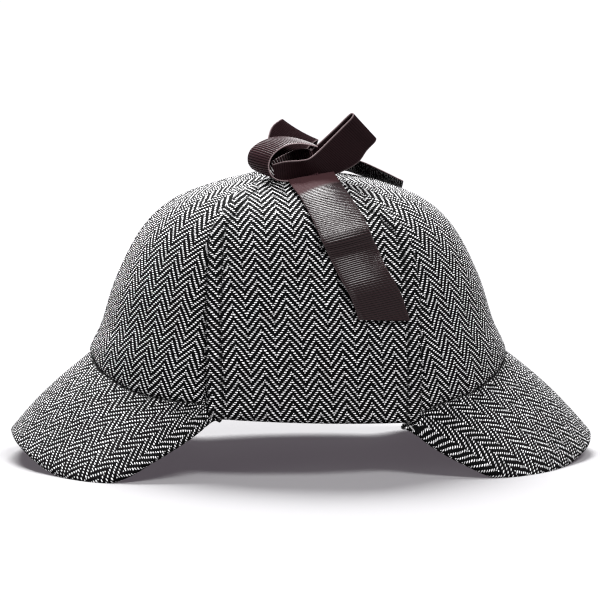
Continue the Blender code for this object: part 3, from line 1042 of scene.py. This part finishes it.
def add_stitches(flap, outline, side, material):
    """Short sewn stitches that lie in the groove inside a flap's edge, in its own colours."""
    places = stitch_line(outline)
    run = steps_along(places, 0)
    vertices, faces = [], []
    for start in np.arange(STITCH_MARGINS[0], run[-1] - STITCH_MARGINS[1], STITCH_EVERY):
        marks = np.linspace(start, start + STITCH_LENGTH, STITCH_RINGS)
        spine = np.stack([np.interp(marks, run, places[:, c]) for c in range(3)], axis=-1)
        base = len(vertices)
        ahead = unit(spine[-1] - spine[0])
        out = np.array((0.0, 1.0, 0.0)) + np.array((spine[2, 0], spine[2, 1], 0.02))
        out = unit(out - ahead * (out @ ahead))
        cross = np.cross(ahead, out)
        for m, centre in enumerate(spine):
            share = m / (STITCH_RINGS - 1)
            thick = STITCH_RADIUS * (0.45 + 0.55 * math.sin(math.pi * share) ** 0.5)
            sink = -STITCH_DIP * (2 * share - 1) ** 4
            for k in range(STITCH_SIDES):
                turn = 2 * math.pi * k / STITCH_SIDES
                around = math.cos(turn) * out + math.sin(turn) * cross
                vertices.append(centre + sink * out + thick * around)
        for m in range(STITCH_RINGS - 1):
            for k in range(STITCH_SIDES):
                a = base + STITCH_SIDES * m + k
                b = base + STITCH_SIDES * m + (k + 1) % STITCH_SIDES
                faces.append((a, b, b + STITCH_SIDES, a + STITCH_SIDES))
        first_ring = range(base, base + STITCH_SIDES)
        last_ring = range(len(vertices) - STITCH_SIDES, len(vertices))
        faces += [tuple(first_ring[::-1]), tuple(last_ring)]
    vertices = np.array(vertices) * np.array((1, side, 1))
    if side < 0:
        faces = [face[::-1] for face in faces]
    uvs = [(vertices[i][0] + 0.3 * vertices[i][1], vertices[i][2]) for f in faces for i in f]
    stitches = add_mesh("stitches_" + flap.name, vertices, faces, uvs, material)
    with bpy.context.temp_override(
        active_object=flap, object=flap, selected_editable_objects=[flap, stitches]
    ):
        bpy.ops.object.join()


# -------- ribbon

# Where the points of a ribbon lie across it, as shares of its width from the middle.
ACROSS = np.array(
    (-0.5, -0.492, -0.478, -0.455, *np.linspace(-0.42, 0.42, 15), 0.455, 0.478, 0.492, 0.5)
)


def ribbon(
    name, edges, material,
    camber=0.0, slant=0.0, rib_height=RIB_HEIGHT, plain_to=None,
):
    """A closed ribbon between two edges, with its ribs raised on both faces.

    `camber` is how far its middle stands out, and `slant` how far its far end is cut at a slant.
    `plain_to` is how far from its start no ribs show, at its first and its second edge; there a
    lighter, plain brown is painted in place of the sheen.
    """
    fine = smooth(np.array(edges) / TENTHS_IN_METRE, 24)
    run = steps_along((fine[:, :3] + fine[:, 3:]) / 2, 0)
    marks = np.arange(0, run[-1], RIB_PITCH / RIB_SAMPLES)[:, None]
    marks = marks * (1 - slant * (0.5 - ACROSS[None]) / run[-1])
    first, second = (
        np.stack([np.interp(marks, run, fine[:, c]) for c in columns], axis=-1)
        for columns in ((0, 1, 2), (3, 4, 5))
    )
    share = ACROSS[None, :, None] + 0.5
    grid = first * (1 - share) + second * share
    width = np.linalg.norm(second - first, axis=-1)
    normal = unit(np.cross(np.gradient(grid, axis=0), second - first))
    grid = grid + (camber * (1 - 4 * ACROSS ** 2))[None, :, None] * normal
    inside = (0.5 - np.abs(ACROSS))[None] * width
    off_edge = clamp(inside / 0.0009)
    rib = clamp(1.6 * np.sin(math.pi * marks / RIB_PITCH) ** 2) ** 0.6
    plain = 0 * marks
    if plain_to is not None:
        reach = plain_to[0] + (plain_to[1] - plain_to[0]) * (ACROSS[None] + 0.5)
        plain = clamp((reach - marks) / 0.003)
    rib = rib * (1 - plain) + 0.8 * plain
    raised = 0.5 * RIBBON_CLOTH - rib_height
    raised = raised + rib_height * (rib * off_edge + 0.6 * (1 - off_edge))
    raised = raised * (0.25 + 0.75 * np.sqrt(1 - (1 - clamp(inside / 0.0004)) ** 2))
    front = grid + raised[..., None] * normal
    back = grid - raised[..., None] * normal
    uv = np.stack([ACROSS[None] * width, marks], axis=-1)
    # Painted light for the material: the edge is painted pale as a highlight, and the plain start
    # a lighter brown in place of the sheen.
    highlit_edge = clamp((0.0006 - inside) / 0.0004)
    painted_light = np.where(plain > 0, -plain, highlit_edge)
    made = shell("dressed_" + name, back, front, uv, material, painted_light=painted_light)
    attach(made, "root")
    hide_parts(name)
    return made


# The knot's lowest and highest corners, and how square it is seen from its end.
KNOT_LOW = (-0.003, -0.024, 0.1484)
KNOT_HIGH = (0.0095, -0.001, 0.157)
KNOT_SQUARE = 3.2


def knot(material):
    """A wound roll of ribbon with soft folds round it."""
    low, high = np.array(KNOT_LOW), np.array(KNOT_HIGH)
    middle, half = (low + high) / 2, (high - low) / 2
    turn, way = np.meshgrid(np.linspace(0, 2 * math.pi, 97), np.linspace(-1, 1, 41), indexing="ij")
    full = (1 - np.abs(way) ** 6) ** 0.35
    waist = 0.9 + 0.1 * np.cos(2 * way)
    folds = 1 - 0.05 * np.cos(5 * math.pi * way) * (1 - way ** 2)
    c, s = np.cos(turn), np.sin(turn)
    box = (np.abs(c) ** KNOT_SQUARE + np.abs(s) ** KNOT_SQUARE) ** (-1 / KNOT_SQUARE)
    size = full * waist * folds * box
    points = middle + np.stack([half[0] * size * c, half[1] * way, half[2] * size * s], axis=-1)
    rows, columns = points.shape[:2]
    run = steps_along(points[:, [columns // 2]], 0)[:, 0]
    uv = np.stack(np.broadcast_arrays(half[1] * way, run[:, None]), axis=-1)
    quads = grid_faces(rows, columns)
    made = add_mesh(
        "dressed_ribbon_knot", points.reshape(-1, 3), quads.tolist(), uv.reshape(-1, 2)[quads],
        material,
    )
    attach(made, "root")
    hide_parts("ribbon_knot")
    return made


# -------- the whole hat

def dress():
    # The crown, flap and brim tweeds are lit and shaded copies of one cloth: their tones are
    # painted light and shade.
    crown_cloth = tweed("crown_tweed", tone=1.2)
    flap_cloth = tweed("flap_tweed", WEAVE_AT, 0.95)
    brim_cloth = tweed("brim_tweed", tone=0.72)
    # The tail, loop and bow ribbons are lit and shaded copies of one ribbon: their tones are
    # painted light and shade, and their shine and painted shade between the ribs differ too.
    tail_brown = grosgrain("tail_grosgrain", 0.17, 0.08, 0.68)
    loop_brown = grosgrain("loop_grosgrain", 0.035, 0.8, 1.25, 0.1)
    brown = grosgrain("bow_grosgrain", 0.03, 0.7, 0.55, 0.6)
    front_edge = end_panel_edge(FRONT_BRIM, 1)
    back_edge = end_panel_edge(BACK_BRIM, -1)
    panels = (
        ("front_", 0.0, SIDE_SEAM, front_edge, END_COLUMNS, 1),
        ("side_", SIDE_SEAM, 180 - SIDE_SEAM, side_panel_edge, SIDE_COLUMNS, 1),
        ("back_", 0.0, SIDE_SEAM, back_edge, END_COLUMNS, -1),
    )
    made = []
    for side_name, side in (("left", 1), ("right", -1)):
        seed = 20 + side
        for part, *shape, facing in panels:
            mirror = (facing, side)
            made.append(crown_panel(part + side_name, *shape, mirror, crown_cloth, seed))
            seed += 5
        made.append(ear_flap("ear_flap_" + side_name, side, flap_cloth, seed))
    made += [
        brim("brim_front", FRONT_BRIM, 1, 32.0, brim_cloth, 51),
        brim("brim_back", BACK_BRIM, -1, 40.0, brim_cloth, 61),
        ribbon("ribbon_loop_back", LOOP_BACK, loop_brown, -0.0006),
        ribbon("ribbon_loop_front", LOOP_FRONT, brown, rib_height=LOW_RIB),
        ribbon("ribbon_lead", LEAD, brown, 0.0008, rib_height=LOW_RIB),
        ribbon("ribbon_tail_short", SHORT_TAIL, brown, 0.0006),
        ribbon(
            "ribbon_tail_long", LONG_TAIL, tail_brown,
            0.001, TAIL_SLANT, plain_to=TAIL_PLAIN,
        ),
        knot(brown),
    ]
    for piece in made:
        for vertex in piece.data.vertices:
            vertex.co.x += HAT_SHIFT


# -------- camera, floor and light

# A long lens from the hat's right side. It looks past CENTRE and then turns to AIM.
PIXEL_FOCAL = 3461.5
IMAGE_PIXELS = 600
SENSOR = 36.0
AZIMUTH = math.radians(-5.5)
ELEVATION = math.radians(6.0)
DISTANCE = 1.8
CENTRE = (HAT_SHIFT, 0.0, 0.084)
AIM = (-0.0012, 0.0, 0.0806)

FLOOR_REACH = 30.0
FLOOR_TONES = ((0.17, 0.17, 0.172, 1.0), (0.176, 0.176, 0.178, 1.0))
FLOOR_GLOW = (0.085, 0.073, 0.085, 1.0)

# The room, from the horizon up: how high on the sky, and its colour.
ROOM = ((0.16, (0.25, 0.25, 0.255, 1.0)), (0.3, (0.1, 0.1, 0.105, 1.0)))

# Soft lamps: direction, strength and spread in degrees.
LAMPS = {
    "back_softbox": ((-0.06, 0.68, 1.0), 15.6, 30),
    "front_softbox": ((0.34, -0.66, 1.0), 4.9, 24),
    "side_softbox": ((-1.0, -0.6, 0.35), 1.4, 40),
    "backdrop": ((0.0, 1.0, 0.3), 0.8, 30),
}


def add_camera():
    level = math.cos(ELEVATION)
    look = Vector((-math.sin(AZIMUTH) * level, math.cos(AZIMUTH) * level, -math.sin(ELEVATION)))
    data = bpy.data.cameras.new("photo_camera")
    data.sensor_width = SENSOR
    data.lens = PIXEL_FOCAL * SENSOR / IMAGE_PIXELS
    camera = add_object("photo_camera", data)
    camera.location = Vector(CENTRE) - DISTANCE * look
    camera.rotation_euler = (Vector(AIM) - camera.location).to_track_quat("-Z", "Y").to_euler()
    scene.camera = camera


def add_floor():
    mesh = bpy.data.meshes.new("floor")
    far = FLOOR_REACH
    corners = [(-far, -far, 0), (far, -far, 0), (far, far, 0), (-far, far, 0)]
    mesh.from_pydata(corners, [], [(0, 1, 2, 3)])
    n = Nodes("pale_floor")
    coordinates = n.add("ShaderNodeTexCoord")
    tone = n.noise(coordinates.outputs["Object"], 3.0, 2.0)[0]
    n.join(FLOOR_GLOW, n.shader.inputs["Emission Color"])
    n.join(1.0, n.shader.inputs["Emission Strength"])
    mesh.materials.append(n.finish(n.mix(tone, *FLOOR_TONES), 1.0, 0.0))
    add_object("floor", mesh)


def add_world():
    """A pale band round the horizon and a dimmer room above it."""
    world = bpy.data.worlds.new("studio")
    world.use_nodes = True
    tree = world.node_tree
    coordinates = tree.nodes.new("ShaderNodeTexCoord")
    apart = tree.nodes.new("ShaderNodeSeparateXYZ")
    ramp = tree.nodes.new("ShaderNodeValToRGB")
    tree.links.new(coordinates.outputs["Generated"], apart.inputs[0])
    tree.links.new(apart.outputs[2], ramp.inputs[0])
    for stop, (position, colour) in zip(ramp.color_ramp.elements, ROOM):
        stop.position = position
        stop.color = colour
    background = tree.nodes["Background"]
    tree.links.new(ramp.outputs[0], background.inputs["Color"])
    background.inputs["Strength"].default_value = 1.0
    scene.world = world


def add_lamp(name, direction, strength, spread):
    data = bpy.data.lights.new(name, "SUN")
    data.energy = strength
    data.angle = math.radians(spread)
    lamp = add_object(name, data)
    lamp.rotation_euler = Vector(direction).to_track_quat("Z", "Y").to_euler()
    lamp.location = Vector(direction) * 3


dress()
add_camera()
add_floor()
add_world()
for name, lamp in LAMPS.items():
    add_lamp(name, *lamp)
scene.view_settings.view_transform = "Standard"
scene.view_settings.look = "None"
scene.cycles.filter_width = 1.2

bpy.context.view_layer.update()
